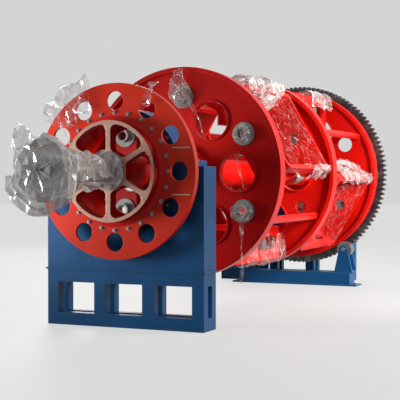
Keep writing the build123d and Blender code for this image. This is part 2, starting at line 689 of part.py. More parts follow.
save("roller_right", roller(LAST_DISC_Y, 1))
save("roller_left", roller(LAST_DISC_Y, -1))
save("gearbox", gearbox())
save("coupling_guard", coupling_guard())
save("motor", motor())
save("drive_plinth", drive_plinth())
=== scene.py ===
# %% [markdown]
# # Cable laying-up machine
#
# A red rotor carries bobbins between its discs and turns in two blue stands, so that the strands
# which come off the bobbins are laid round each other ahead of the nose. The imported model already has
# every hard piece at its real size. This scene gives those pieces their finishes, and adds what a
# model of solids leaves out: bolts, cooling fins and the clear film that still covers parts of the
# new machine.

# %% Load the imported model
import json
import math

import bmesh
import bpy
import numpy as np
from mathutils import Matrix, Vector


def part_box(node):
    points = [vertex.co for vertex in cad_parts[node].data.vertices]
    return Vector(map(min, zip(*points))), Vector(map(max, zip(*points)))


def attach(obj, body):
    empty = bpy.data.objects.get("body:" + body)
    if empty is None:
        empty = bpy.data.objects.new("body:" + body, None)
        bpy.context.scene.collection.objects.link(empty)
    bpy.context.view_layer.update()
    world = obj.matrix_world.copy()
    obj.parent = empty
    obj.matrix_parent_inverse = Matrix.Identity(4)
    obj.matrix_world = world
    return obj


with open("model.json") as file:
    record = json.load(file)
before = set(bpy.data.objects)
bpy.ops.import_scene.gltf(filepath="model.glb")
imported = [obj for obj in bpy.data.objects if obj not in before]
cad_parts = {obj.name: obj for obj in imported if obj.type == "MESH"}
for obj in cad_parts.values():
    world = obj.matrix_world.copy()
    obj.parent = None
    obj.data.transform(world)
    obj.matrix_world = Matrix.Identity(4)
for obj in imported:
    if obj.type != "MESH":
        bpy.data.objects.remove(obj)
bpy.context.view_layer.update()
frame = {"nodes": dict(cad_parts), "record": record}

# %% [markdown]
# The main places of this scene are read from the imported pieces, so what is added sits where the model
# is. The rotor turns about a line along Y. Its height is the middle of the ring plate, which is the
# round plate with twelve holes behind the nose.

# %% Places on the machine
WHEEL_AHEAD = 0.14
CRADLE_PLACE = 0.86


def middle_of(node):
    """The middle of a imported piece's box."""
    low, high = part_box(node)
    return (low + high) / 2


AXIS = Vector((0, 0, middle_of("ring_plate").z))
LAY_PLATE_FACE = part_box("lay_plate")[0].y
WHEEL_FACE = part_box("front_spoke_wheel")[0].y
RING_FACE = WHEEL_FACE + WHEEL_AHEAD
DISC_Y = [middle_of(f"disc_{k}").y for k in (1, 2, 3)]
print("axis height", round(AXIS.z, 3), "discs at", [round(y, 2) for y in DISC_Y])


def square_to_axis(radius, angle):
    """A step of this length across the machine, its angle in radians clockwise from the top."""
    return Vector((radius * math.sin(angle), 0, radius * math.cos(angle)))


def on_rotor(radius, degrees, y):
    """A point on the rotor, its angle clockwise from the top as seen from the nose."""
    angle = math.radians(degrees)
    return Vector((radius * math.sin(angle), y, AXIS.z + radius * math.cos(angle)))


# %% [markdown]
# ## Camera
#
# The photograph was taken from a long way off, a little to the right of the nose and at about the
# height of the axis. A long lens from the same direction keeps the discs' ellipses as they are in the
# photograph, and the camera is aimed at the middle of what it sees.

# %% Set up the camera
EYE = Vector((5.26, -9.97, 1.5))
AIM = Vector((-0.24, 2.3, 1.27))
FOCAL_LENGTH = 98

lens = bpy.data.cameras.new("camera")
lens.lens = FOCAL_LENGTH
camera = bpy.data.objects.new("camera", lens)
camera.location = EYE
camera.rotation_euler = (AIM - EYE).to_track_quat("-Z", "Y").to_euler()
bpy.context.scene.collection.objects.link(camera)
bpy.context.scene.camera = camera
print("camera to nose:", round((EYE - Vector((0, LAY_PLATE_FACE, AXIS.z))).length, 2), "m")

# %% [markdown]
# ## Floor and light
#
# Strong side light comes from behind on the right, so the bays glow and the faces that look at the
# camera lie in soft shade. A large soft lamp stands there with a narrower one under it. A weaker lamp
# fills the front from the left, one more lights the rear, and an even pale sky fills the rest. The
# view transform is Standard, so that a paint renders about as it is written.

# %% Lay the floor and hang the lamps
FLOOR_RADIUS = 60
WARM, NEUTRAL = (1, 0.97, 0.94), (1, 1, 1)


def flat_disc(name, radius, corners=96):
    """A round floor that lies on z = 0."""
    mesh = bpy.data.meshes.new(name)
    shape = bmesh.new()
    bmesh.ops.create_circle(shape, cap_ends=True, segments=corners, radius=radius)
    shape.to_mesh(mesh)
    shape.free()
    disc = bpy.data.objects.new(name, mesh)
    bpy.context.scene.collection.objects.link(disc)
    return disc


def soft_lamp(name, place, target, size, power, colour, spread=180):
    """A square lamp with soft edges to its shadows, aimed at a point, with its beam's width in degrees."""
    data = bpy.data.lights.new(name, "AREA")
    data.size = size
    data.spread = math.radians(spread)
    data.energy = power
    data.color = colour
    lamp = bpy.data.objects.new(name, data)
    lamp.location = place
    lamp.rotation_euler = (Vector(target) - Vector(place)).to_track_quat("-Z", "Y").to_euler()
    lamp.visible_camera = False
    bpy.context.scene.collection.objects.link(lamp)
    return lamp


floor = flat_disc("floor", FLOOR_RADIUS)
lamps = [
    soft_lamp("side_light", (9, 5.5, 5.5), (0.6, 3.8, 1.5), size=4, power=1200, colour=WARM),
    soft_lamp("bay_light", (5.5, 1.6, 2.8), (0.4, 4.0, 1.4), size=1.6, power=125, colour=WARM, spread=75),
    soft_lamp("front_light", (-3.7, -2.0, 1.2), (0, -0.4, 1.7), size=1.8, power=46, colour=(1, 0.98, 0.96),
              spread=64),
    soft_lamp("rear_light", (-7, 11, 6), (0, 4, 1.4), size=5, power=500, colour=NEUTRAL),
]
bpy.context.scene.view_settings.view_transform = "Standard"
print("lamps:", [lamp.name for lamp in lamps])

# %% [markdown]
# The pale background comes from the colour of the world where the camera, bright metal or clear film
# sees it, and not from more light on the machine.

# %% Paint the background
SKY_STRENGTH = 0.39
BACKGROUND = (0.66, 0.66, 0.655, 1)
SKY = (0.90, 0.93, 1.0, 1)


def looked_at(tree):
    """1 where the camera, a mirror or something clear looks, and 0 where light only bounces."""
    rays = tree.nodes.new("ShaderNodeLightPath").outputs
    seen_by = rays["Is Camera Ray"]
    for kind in ("Is Glossy Ray", "Is Transmission Ray"):
        either = tree.nodes.new("ShaderNodeMath")
        either.operation = "MAXIMUM"
        tree.links.new(seen_by, either.inputs[0])
        tree.links.new(rays[kind], either.inputs[1])
        seen_by = either.outputs[0]
    return seen_by


def even_light(tree, colour, strength=1.0):
    """Light of one colour from all round."""
    light = tree.nodes.new("ShaderNodeBackground")
    light.inputs["Color"].default_value = colour
    light.inputs["Strength"].default_value = strength
    return light.outputs[0]


world = bpy.data.worlds.new("pale_surroundings")
bpy.context.scene.world = world
world.use_nodes = True
sky = world.node_tree
sky.nodes.clear()
pick = sky.nodes.new("ShaderNodeMixShader")
around = sky.nodes.new("ShaderNodeOutputWorld")
sky.links.new(looked_at(sky), pick.inputs["Fac"])
sky.links.new(even_light(sky, SKY, SKY_STRENGTH), pick.inputs[1])
sky.links.new(even_light(sky, BACKGROUND), pick.inputs[2])
sky.links.new(pick.outputs[0], around.inputs["Surface"])
print("sky strength", SKY_STRENGTH)

# %% [markdown]
# ## Finishes
#
# Every finish here is a small tree of nodes that reads the place on the piece in metres, so a speck
# is as large on the nose as on the last disc. A short helper class keeps the trees readable: it makes
# a node, feeds its sockets and hands back the socket that the next node reads.


# %% A helper that builds finishes
ROUNDING_SAMPLES = 6


class Finish:
    """A material under construction, with its shader and the place that its patterns read."""

    def __init__(self, name):
        self.material = bpy.data.materials.new(name)
        self.material.use_nodes = True
        self.tree = self.material.node_tree
        self.tree.nodes.clear()
        self.shader = self.add("ShaderNodeBsdfPrincipled")
        output = self.add("ShaderNodeOutputMaterial")
        self.tree.links.new(self.shader.outputs["BSDF"], output.inputs["Surface"])
        self.place = self.add("ShaderNodeTexCoord").outputs["Object"]

    def add(self, kind, feeds=(), **settings):
        made = self.tree.nodes.new(kind)
        for name, value in settings.items():
            setattr(made, name, value)
        for socket, value in dict(feeds).items():
            self.feed(made.inputs[socket], value)
        return made

    def feed(self, socket, value):
        if isinstance(value, bpy.types.NodeSocket):
            self.tree.links.new(value, socket)
        else:
            socket.default_value = value

    def set(self, **values):
        """Constants and patterns of the shader, by their sockets' names with _ for a space."""
        for name, value in values.items():
            self.feed(self.shader.inputs[name.replace("_", " ")], value)

    def math(self, operation, first, second=0.0):
        return self.add("ShaderNodeMath", {0: first, 1: second}, operation=operation).outputs[0]

    def cloud(self, scale, detail):
        """Soft noise between 0 and 1, as many features to the metre as the scale says."""
        feeds = {"Vector": self.place, "Scale": scale, "Detail": detail}
        return self.add("ShaderNodeTexNoise", feeds).outputs["Fac"]

    def between(self, value, low, high):
        """0 below low, 1 above high, and smooth between them."""
        feeds = {"Value": value, "From Min": low, "From Max": high}
        return self.add("ShaderNodeMapRange", feeds, interpolation_type="SMOOTHSTEP").outputs["Result"]

    def blend(self, share, first, second):
        """A colour between two others."""
        mix = self.add("ShaderNodeMix", data_type="RGBA")
        self.feed(mix.inputs[0], share)
        self.feed(mix.inputs[6], first)
        self.feed(mix.inputs[7], second)
        return mix.outputs[2]

    def level(self, share, first, second):
        """A number between two others."""
        feeds = {"Value": share, "To Min": first, "To Max": second}
        return self.add("ShaderNodeMapRange", feeds).outputs["Result"]

    def facing(self, axis):
        """How far the surface looks along one axis, from -1 to 1."""
        normal = self.add("ShaderNodeNewGeometry").outputs["Normal"]
        return self.add("ShaderNodeSeparateXYZ", {0: normal}).outputs[axis]

    def rounded(self, radius):
        """The way the surface looks, as if its edges were rounded."""
        return self.add("ShaderNodeBevel", {"Radius": radius}, samples=ROUNDING_SAMPLES).outputs[0]

    def edge(self, radius):
        """1 on sharp edges and 0 on open faces, from how much a rounded normal differs."""
        sharp = self.add("ShaderNodeNewGeometry").outputs["Normal"]
        feeds = {0: self.rounded(radius), 1: sharp}
        alike = self.add("ShaderNodeVectorMath", feeds, operation="DOT_PRODUCT").outputs["Value"]
        return self.between(alike, 0.985, 0.90)

    def relief(self, height, distance, strength, rounding=0.0):
        """Bump from a height between 0 and 1, over edges that are rounded by the shader."""
        feeds = {"Height": height, "Distance": distance, "Strength": strength}
        bump = self.add("ShaderNodeBump", feeds)
        if rounding:
            self.feed(bump.inputs["Normal"], self.rounded(rounding))
        self.set(Normal=bump.outputs[0])


# %% [markdown]
# ### Sprayed paint
#
# The rotor and the stands are sprayed with enamel over welded plate. Seen closely, such paint is never one
# colour: its shade drifts over a metre or so, it has a fine ripple that breaks up reflections, and workshop
# dust lies where it faces up. Every edge, hollow ones too, is painted a lighter colour, which is partly
# thinned paint and partly a painted highlight, and the edges' rounded normals catch the light as well.

# %% Mix the paints
DUST = (0.42, 0.37, 0.33, 1)
PAINT_SHINE = 0.17
WORN_AND_LIT_EDGE_WIDTH = 0.009
PAINTED_EDGE = 0.006


def drifting_shade(finish, deep, colour):
    """A paint's own colour, which drifts between two shades over a metre or so."""
    return finish.blend(finish.between(finish.cloud(1.3, 2), 0.35, 0.65), deep, colour)


def worn_and_lit_edges(finish, mottle):
    """How much of the lighter edge colour shows: on every edge, as worn paint and painted highlight, more
    in some spots than in others.
    """
    return finish.math("MULTIPLY", finish.edge(WORN_AND_LIT_EDGE_WIDTH), finish.level(mottle, 0.15, 0.55))


def enamel_gloss(finish, mottle, roughness):
    """The shine of sprayed enamel, a little uneven from spot to spot."""
    finish.set(Roughness=finish.level(mottle, roughness - 0.07, roughness + 0.09))
    finish.set(Specular_IOR_Level=PAINT_SHINE)


def sprayed_paint(name, colour, deep, worn_and_lit_edge_colour, roughness, dust):
    finish = Finish(name)
    mottle = finish.cloud(22, 5)
    shade = drifting_shade(finish, deep, colour)
    lying = finish.between(finish.facing("Z"), 0.55, 0.98)
    patchy = finish.level(mottle, 0.3 * dust, 1.3 * dust)
    dusty = finish.blend(finish.math("MULTIPLY", lying, patchy), shade, DUST)
    # Edges get the lighter colour: partly worn paint, partly painted highlight.
    finish.set(Base_Color=finish.blend(worn_and_lit_edges(finish, mottle), dusty, worn_and_lit_edge_colour))
    enamel_gloss(finish, mottle, roughness)
    finish.relief(finish.cloud(140, 3), 0.0008, 0.5, rounding=PAINTED_EDGE)
    return finish.material


# The third colour of each paint is its lighter edge colour, partly worn paint and partly painted highlight.
red_paint = sprayed_paint(
    "rotor_red_paint", (0.62, 0.006, 0.003, 1), (0.48, 0.004, 0.002, 1), (0.70, 0.05, 0.03, 1), 0.32, 0.08
)
blue_paint = sprayed_paint(
    "stand_blue_paint", (0.006, 0.076, 0.21, 1), (0.004, 0.058, 0.16, 1), (0.06, 0.19, 0.35, 1), 0.36, 0.12
)
grey_paint = sprayed_paint(
    "motor_grey_paint", (0.22, 0.235, 0.25, 1), (0.17, 0.18, 0.19, 1), (0.40, 0.41, 0.42, 1), 0.42, 0.35
)
print("paints:", red_paint.name, blue_paint.name, grey_paint.name)

# %% [markdown]
# ### Turned and machined steel
#
# The nose shaft, the lay plate, the bushes, pintles and rollers are left bright. A lathe leaves fine
# marks that run round the axis, so the pattern reads only the distance along the machine and the
# distance from the axis, and is the same all the way round.

# %% Turn the steel
OIL = (0.20, 0.19, 0.17, 1)
TURNED_EDGE = 0.003


def turned_steel(name, colour, roughness, marks=420.0):
    finish = Finish(name)
    parts = finish.add("ShaderNodeSeparateXYZ", {0: finish.place})
    across = finish.math("POWER", parts.outputs["X"], 2.0)
    rise = finish.math("POWER", finish.math("SUBTRACT", parts.outputs["Z"], AXIS.z), 2.0)
    radius = finish.math("SQRT", finish.math("ADD", across, rise))
    groove = finish.add("ShaderNodeCombineXYZ", {"X": radius, "Y": parts.outputs["Y"]})
    feeds = {"Vector": groove.outputs[0], "Scale": marks, "Detail": 2.0}
    lathe = finish.add("ShaderNodeTexNoise", feeds).outputs["Fac"]
    stain = finish.between(finish.cloud(9, 5), 0.42, 0.72)
    tone = finish.blend(finish.level(stain, 0.0, 0.55), colour, OIL)
    finish.set(Base_Color=tone, Metallic=1.0)
    finish.set(Roughness=finish.level(lathe, roughness - 0.08, roughness + 0.14))
    finish.relief(lathe, 0.0004, 0.6, rounding=TURNED_EDGE)
    return finish.material


bright_steel = turned_steel("turned_bright_steel", (0.34, 0.335, 0.33, 1), 0.36)
guide_steel = turned_steel("dull_guide_steel", (0.22, 0.215, 0.21, 1), 0.52)
gear_steel = turned_steel("oiled_gear_steel", (0.055, 0.055, 0.06, 1), 0.42, 260.0)
bolt_steel = turned_steel("blackened_bolt_steel", (0.16, 0.16, 0.17, 1), 0.38, 500.0)
print("metals:", bright_steel.name, guide_steel.name, gear_steel.name, bolt_steel.name)

# %% [markdown]
# ### Machined faces
#
# The front of the spoked wheel is faced in a lathe after it is painted, so its rim and spokes show as
# thin pale lines round deep red windows. The ring plate has two short bars across it that are bare as
# well. One material does both: it is paint, except where the surface looks at the nose and lies in
# front of a plane, which is just behind the faced part.

# %% Face the wheel and the bars
FACED_DEEP, FACED_PALE = (0.36, 0.19, 0.14, 1), (0.46, 0.30, 0.24, 1)
WORN_AND_LIT_RED = (0.66, 0.10, 0.05, 1)
FACED_METAL = 0.55


def faced_paint(name, colour, deep, plane, roughness):
    finish = Finish(name)
    parts = finish.add("ShaderNodeSeparateXYZ", {0: finish.place})
    in_front = finish.between(parts.outputs["Y"], plane, plane - 0.002)
    looks_out = finish.between(finish.facing("Y"), -0.7, -0.9)
    bare = finish.math("MULTIPLY", in_front, looks_out)
    mottle = finish.cloud(30, 4)
    metal = finish.blend(mottle, FACED_DEEP, FACED_PALE)
    # The lighter red on the edges is partly worn paint and partly painted highlight.
    paint = finish.blend(worn_and_lit_edges(finish, mottle), drifting_shade(finish, deep, colour), WORN_AND_LIT_RED)
    finish.set(Base_Color=finish.blend(bare, paint, metal))
    finish.set(Metallic=finish.math("MULTIPLY", bare, FACED_METAL))
    enamel_gloss(finish, mottle, roughness)
    finish.relief(finish.cloud(160, 3), 0.0006, 0.5, rounding=PAINTED_EDGE)
    return finish.material


wheel_paint = faced_paint(
    "faced_wheel_paint", (0.42, 0.010, 0.005, 1), (0.30, 0.006, 0.004, 1), WHEEL_FACE + 0.004, 0.33
)
ring_paint = faced_paint(
    "faced_ring_paint", (0.62, 0.026, 0.005, 1), (0.50, 0.017, 0.004, 1), RING_FACE - 0.003, 0.38
)
print("made", wheel_paint.name, "and", ring_paint.name)

# %% [markdown]
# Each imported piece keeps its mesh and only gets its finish. The list goes by the piece's job: what
# is turned or ground stays bright, gears are dark with oil, and the rest is painted. The faced
# pieces and the dull guides have finishes of their own.

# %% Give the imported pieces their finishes
SLOT_FINISH = {
    "rotor_red": red_paint,
    "stand_blue": blue_paint,
    "bright_steel": bright_steel,
    "gear_steel": gear_steel,
    "motor_grey": grey_paint,
}
OWN_FINISH = {"ring_plate": ring_paint, "front_spoke_wheel": wheel_paint, "guide_bushes": guide_steel}

for row in frame["record"]["subparts"]:
    piece = frame["nodes"][row["node"]]
    finish = OWN_FINISH.get(piece.name) or SLOT_FINISH[row["material_slot"]]
    for k in range(len(piece.data.materials)):
        piece.data.materials[k] = finish
print("finished", len(frame["nodes"]), "packed pieces")

# %% [markdown]
# The floor is plain and pale. It glows a little where it is looked at, so that it meets the background
# almost without a line, while the light that it sends back to the machine stays as it is.

# %% Floor finish
FLOOR_DEEP, FLOOR_PALE = (0.115, 0.115, 0.114, 1), (0.135, 0.135, 0.134, 1)
FLOOR_GLOW = 0.60

floor_finish = Finish("pale_floor")
floor_finish.set(Base_Color=floor_finish.blend(floor_finish.cloud(0.7, 3), FLOOR_DEEP, FLOOR_PALE))
floor_finish.set(Roughness=0.6, Specular_IOR_Level=0.12, Emission_Color=(1, 1, 0.99, 1))
floor_finish.set(Emission_Strength=floor_finish.math("MULTIPLY", looked_at(floor_finish.tree), FLOOR_GLOW))
floor.data.materials.append(floor_finish.material)
print("floor glow", FLOOR_GLOW)

# %% [markdown]
# ## Bolts
#
# A machine of this size is held together by hundreds of bolts, in rings round its flanges. They all
# have one shape, so a Geometry Nodes tree makes them: it puts a washer and a six-sided head on each
# point of a mesh, turned to the way that the point faces and as large as the point says. The script
# only has to list where bolts go. A few helpers keep this tree and the later ones short.


# %% Helpers that build trees
def socket_of(tree, name):
    """The identifier of a tree's named input."""
    return next(item.identifier for item in tree.interface.items_tree if item.name == name)


def new_tree(name, inputs):
    """A Geometry Nodes tree with a geometry in and out, and the named inputs with their defaults."""
    tree = bpy.data.node_groups.new(name, "GeometryNodeTree")
    tree.interface.new_socket("Geometry", in_out="INPUT", socket_type="NodeSocketGeometry")
    tree.interface.new_socket("Geometry", in_out="OUTPUT", socket_type="NodeSocketGeometry")
    for label, kind, value in inputs:
        item = tree.interface.new_socket(label, in_out="INPUT", socket_type=f"NodeSocket{kind}")
        if value is not None:
            item.default_value = value
    return tree


def place_node(tree, kind, feeds=(), **settings):
    """A node with its settings, and its inputs set or linked."""
    made = tree.nodes.new(kind)
    for name, value in settings.items():
        setattr(made, name, value)
    for socket, value in dict(feeds).items():
        if isinstance(value, bpy.types.NodeSocket):
            tree.links.new(value, made.inputs[socket])
        else:
            made.inputs[socket].default_value = value
    return made


def point_value(tree, name, kind):
    """What each point of the base mesh carries under a name."""
    return place_node(tree, "GeometryNodeInputNamedAttribute", {"Name": name}, data_type=kind).outputs[0]


def turned_to_face(tree):
    """The turn that points Z the way that each point of the base mesh faces."""
    feeds = {"Vector": point_value(tree, "facing", "FLOAT_VECTOR")}
    return place_node(tree, "FunctionNodeAlignRotationToVector", feeds, axis="Z").outputs[0]


def raised_by(tree, geometry, height):
    """The same shape, moved up."""
    lift = place_node(tree, "ShaderNodeCombineXYZ", {"Z": height}).outputs[0]
    return place_node(tree, "GeometryNodeTransform", {"Geometry": geometry, "Translation": lift}).outputs[0]


def hand_out(tree, geometry, finish):
    """Paint what the tree has made, and end the tree there."""
    painted = place_node(tree, "GeometryNodeSetMaterial", {"Geometry": geometry, "Material": finish})
    out = tree.nodes.new("NodeGroupOutput")
    tree.links.new(painted.outputs[0], out.inputs[0])


# %% [markdown]
# A bolt head is a six-sided block on a round washer, and a low cone on top rounds it off. The sizes of
# block and washer are shares of the head's width, and those of the cone are shares of the block's
# radius. Each head is turned by a random angle, as a spanner leaves it.


# %% Build the tree that makes bolts
def bolt_tree():
    tree = new_tree("bolt_heads", [
        ("Head Radius", "Float", 0.5),
        ("Head Height", "Float", 0.36),
        ("Crown Top", "Float", 0.72),
        ("Crown Foot", "Float", 0.86),
        ("Crown Height", "Float", 0.1),
        ("Washer Radius", "Float", 0.66),
        ("Washer Height", "Float", 0.1),
        ("Seed", "Int", 7),
        ("Finish", "Material", None),
    ])
    given = tree.nodes.new("NodeGroupInput").outputs

    def product(first, second):
        return place_node(tree, "ShaderNodeMath", {0: first, 1: second}, operation="MULTIPLY").outputs[0]

    washer = place_node(tree, "GeometryNodeMeshCylinder", {
        "Vertices": 16, "Radius": given["Washer Radius"], "Depth": given["Washer Height"]})
    head = place_node(tree, "GeometryNodeMeshCylinder", {
        "Vertices": 6, "Radius": given["Head Radius"], "Depth": given["Head Height"]})
    crown = place_node(tree, "GeometryNodeMeshCone", {
        "Vertices": 12, "Depth": given["Crown Height"],
        "Radius Top": product(given["Head Radius"], given["Crown Top"]),
        "Radius Bottom": product(given["Head Radius"], given["Crown Foot"])})
    block = raised_by(tree, head.outputs["Mesh"], product(given["Head Height"], 0.5))
    cap = raised_by(tree, crown.outputs["Mesh"], given["Head Height"])
    whole = tree.nodes.new("GeometryNodeJoinGeometry")
    for part in (washer.outputs["Mesh"], block, cap):
        tree.links.new(part, whole.inputs[0])
    turn = place_node(tree, "FunctionNodeRandomValue", {"Seed": given["Seed"], 3: math.tau},
                      data_type="FLOAT").outputs[1]
    spin = place_node(tree, "FunctionNodeAxisAngleToRotation", {"Axis": (0, 0, 1), "Angle": turn})
    turned = place_node(tree, "FunctionNodeRotateRotation", {0: turned_to_face(tree), 1: spin.outputs[0]},
                        rotation_space="LOCAL")
    spread = place_node(tree, "GeometryNodeInstanceOnPoints", {
        "Points": given["Geometry"], "Instance": whole.outputs[0],
        "Rotation": turned.outputs[0], "Scale": point_value(tree, "size", "FLOAT")})
    real = place_node(tree, "GeometryNodeRealizeInstances", {0: spread.outputs[0]})
    hand_out(tree, real.outputs[0], given["Finish"])
    return tree


bolts = bolt_tree()
print("bolt tree has", len(bolts.nodes), "nodes")

# %% [markdown]
# A base mesh has only points, each with a direction and a size. The tree's result is taken as a plain
# mesh, one for each body that turns on its own, and the modifier doesn't stay.


# %% Turn lists of places into bolts
def grow(name, tree, base, settings):
    """The plain mesh that a tree makes from a base mesh."""
    carrier = bpy.data.objects.new(f"{name}_base", base)
    bpy.context.scene.collection.objects.link(carrier)
    modifier = carrier.modifiers.new(name, "NODES")
    modifier.node_group = tree
    for label, value in settings.items():
        modifier[socket_of(tree, label)] = value
    bpy.context.view_layer.update()
    ready = carrier.evaluated_get(bpy.context.evaluated_depsgraph_get())
    mesh = bpy.data.meshes.new_from_object(ready)
    bpy.data.objects.remove(carrier)
    mesh.name = name
    piece = bpy.data.objects.new(name, mesh)
    bpy.context.scene.collection.objects.link(piece)
    return piece


def facing_points(name, places, ways):
    """A mesh of single points, each with the direction that it faces."""
    base = bpy.data.meshes.new(name)
    base.from_pydata(places, [], [])
    facing = base.attributes.new("facing", "FLOAT_VECTOR", "POINT")
    facing.data.foreach_set("vector", [part for way in ways for part in way])
    return base


def fit_bolts(name, body, places):
    """Bolts at (point, direction, width across the head), as one piece that rides on a body."""
    base = facing_points(f"{name}_points", [place for place, _, _ in places], [way for _, way, _ in places])
    size = base.attributes.new("size", "FLOAT", "POINT")
    size.data.foreach_set("value", [width for _, _, width in places])
    piece = grow(name, bolts, base, {"Finish": bolt_steel})
    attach(piece, body)
    print(name, len(places), "bolts,", len(piece.data.polygons), "faces")


def bolt_circle(centre, radius, count, way, width, start=0.0):
    """Places evenly round a circle that is square to the machine's axis."""
    angles = [math.radians(start + k * 360 / count) for k in range(count)]
    return [(Vector(centre) + square_to_axis(radius, angle), (0, way, 0), width) for angle in angles]


# %% [markdown]
# On the rotor the bolts hold the ring plate to its drum, the nose shaft to the wheel, each disc's hub,
# the trunnions of the cradles and the ring gear.

# %% Bolts on the rotor
M24, M20, M16, M12 = 0.040, 0.034, 0.027, 0.021
DRUM_CIRCLE, NOSE_CIRCLE, HUB_CIRCLE, GEAR_CIRCLE, TRUNNION_CIRCLE = 0.592, 0.155, 0.245, 1.195, 0.134
NOSE_FLANGE = 0.03
HUB_REACH = 0.1
PLATE_HALF = 0.02
TRUNNION_FLANGE = 0.025

drum_front = Vector((0, RING_FACE, AXIS.z))
nose_flange_front = Vector((0, WHEEL_FACE - NOSE_FLANGE, AXIS.z))
gear_back = Vector((0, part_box("drive_ring")[1].y, AXIS.z))
rotor_places = bolt_circle(drum_front, DRUM_CIRCLE, 24, -1, M20)
rotor_places += bolt_circle(nose_flange_front, NOSE_CIRCLE, 8, -1, M20, start=22.5)
for y in DISC_Y:
    for way in (-1, 1):
        rotor_places += bolt_circle((0, y + way * HUB_REACH, AXIS.z), HUB_CIRCLE, 12, way, M24, start=15)
rotor_places += bolt_circle(gear_back, GEAR_CIRCLE, 36, 1, M20)
for bay in (0, 1):
    front = DISC_Y[bay] + PLATE_HALF + TRUNNION_FLANGE
    back = DISC_Y[bay + 1] - PLATE_HALF - TRUNNION_FLANGE
    for k in range(3):
        degrees = (k + 0.5 * (1 - bay)) * 120
        for y, way in ((front, 1), (back, -1)):
            trunnion = on_rotor(CRADLE_PLACE, degrees, y)
            rotor_places += bolt_circle(trunnion, TRUNNION_CIRCLE, 8, way, M16)
fit_bolts("rotor_bolts", "rotor", rotor_places)

# %% [markdown]
# On the frame they hold the bearing rings and their ears, the feet on the floor and the roller
# brackets.

# %% Bolts on the frame
FRONT_HOUSING_CIRCLE, REAR_HOUSING_CIRCLE = 0.602, 0.218
BEARING_PROUD = 0.165
EAR_RISE = 0.06
EAR_BOLTS = 0.09
SOLE_TOP = 0.02
FRONT_EAR_OUT, REAR_EAR_OUT = 0.72, 0.34
FRONT_ANCHOR_OUT, REAR_ANCHOR_OUT, ROLLER_ANCHOR_OUT = 0.7, 0.45, 0.9
BRACKET_FOOT = 0.02
BRACKET_BOLTS = (0.095, 0.05)
REAR_STAND_Y = middle_of("rear_stand_base").y
EAR_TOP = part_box("front_stand_panel")[1].z + EAR_RISE
UP = (0, 0, 1)


def bolt_corners(centre, across, along, width):
    """Places for four bolts that look up, at the corners of a rectangle."""
    corners = [(x, y) for x in (-across, across) for y in (-along, along)]
    return [(Vector(centre) + Vector((x, y, 0)), UP, width) for x, y in corners]


frame_places = []
for way in (-1, 1):
    front_housing = (0, way * BEARING_PROUD, AXIS.z)
    rear_housing = (0, REAR_STAND_Y + way * BEARING_PROUD, AXIS.z)
    frame_places += bolt_circle(front_housing, FRONT_HOUSING_CIRCLE, 16, way, M20, start=11.25)
    frame_places += bolt_circle(rear_housing, REAR_HOUSING_CIRCLE, 8, way, M20, start=22.5)
for x, y in ((FRONT_EAR_OUT, 0), (REAR_EAR_OUT, REAR_STAND_Y)):
    frame_places += bolt_corners((0, y, EAR_TOP), x, EAR_BOLTS, M24)
for x, y in ((FRONT_ANCHOR_OUT, 0), (REAR_ANCHOR_OUT, REAR_STAND_Y), (ROLLER_ANCHOR_OUT, DISC_Y[2])):
    for side in (-1, 1):
        frame_places.append((Vector((side * x, y, SOLE_TOP)), UP, M24))
roller = middle_of("roller_right")
foot_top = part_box("roller_brackets")[0].z + BRACKET_FOOT
for side in (-1, 1):
    frame_places += bolt_corners((side * roller.x, roller.y, foot_top), *BRACKET_BOLTS, M16)

# %% [markdown]
# Six small bolts hold the round cover on the gearbox's front, and six larger ones each of its end
# walls. More bolts sit round the motor's rear shield, and small screws hold the lid of its terminal
# box. They all stand still, so they are one piece with the other bolts of the frame.

# %% Bolts on the drive
GEARBOX_COVER = 0.03
COVER_CIRCLE, SHIELD_CIRCLE = 0.09, 0.16
GEARBOX_BOLTS_ACROSS, GEARBOX_BOLTS_UP = 0.145, (-0.17, 0.0, 0.195)
LID_SCREWS, SCREW = (0.06, 0.07), 0.012

gear_low, gear_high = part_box("gearbox")
motor_low, motor_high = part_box("motor")
shaft = middle_of("pinion")
frame_places += bolt_circle((shaft.x, gear_low.y, shaft.z), COVER_CIRCLE, 6, -1, M12)
for x in (-GEARBOX_BOLTS_ACROSS, GEARBOX_BOLTS_ACROSS):
    for z in GEARBOX_BOLTS_UP:
        for y, way in ((gear_low.y + GEARBOX_COVER, -1), (gear_high.y, 1)):
            frame_places.append((Vector((shaft.x + x, y, shaft.z + z)), (0, way, 0), M16))
frame_places += bolt_circle((shaft.x, motor_high.y, shaft.z), SHIELD_CIRCLE, 8, 1, M12, start=22.5)
motor_middle = Vector((shaft.x, middle_of("motor").y, shaft.z))
frame_places += bolt_corners((shaft.x, motor_middle.y, motor_high.z), *LID_SCREWS, SCREW)
fit_bolts("frame_bolts", "frame", frame_places)

# %% [markdown]
# ## The motor's cooling fins and fan grille
#
# The barrel of an electric motor is cast with thin fins along it, and a fan behind a round grille
# blows air between them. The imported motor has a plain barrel, so both are grown here. Each point on
# the barrel becomes one fin, and each ring of the grille is a circle swept by a thin round wire.


# %% Build the tree that makes fins
FIN_TAPER = (0.45, 0.985, 1.0)


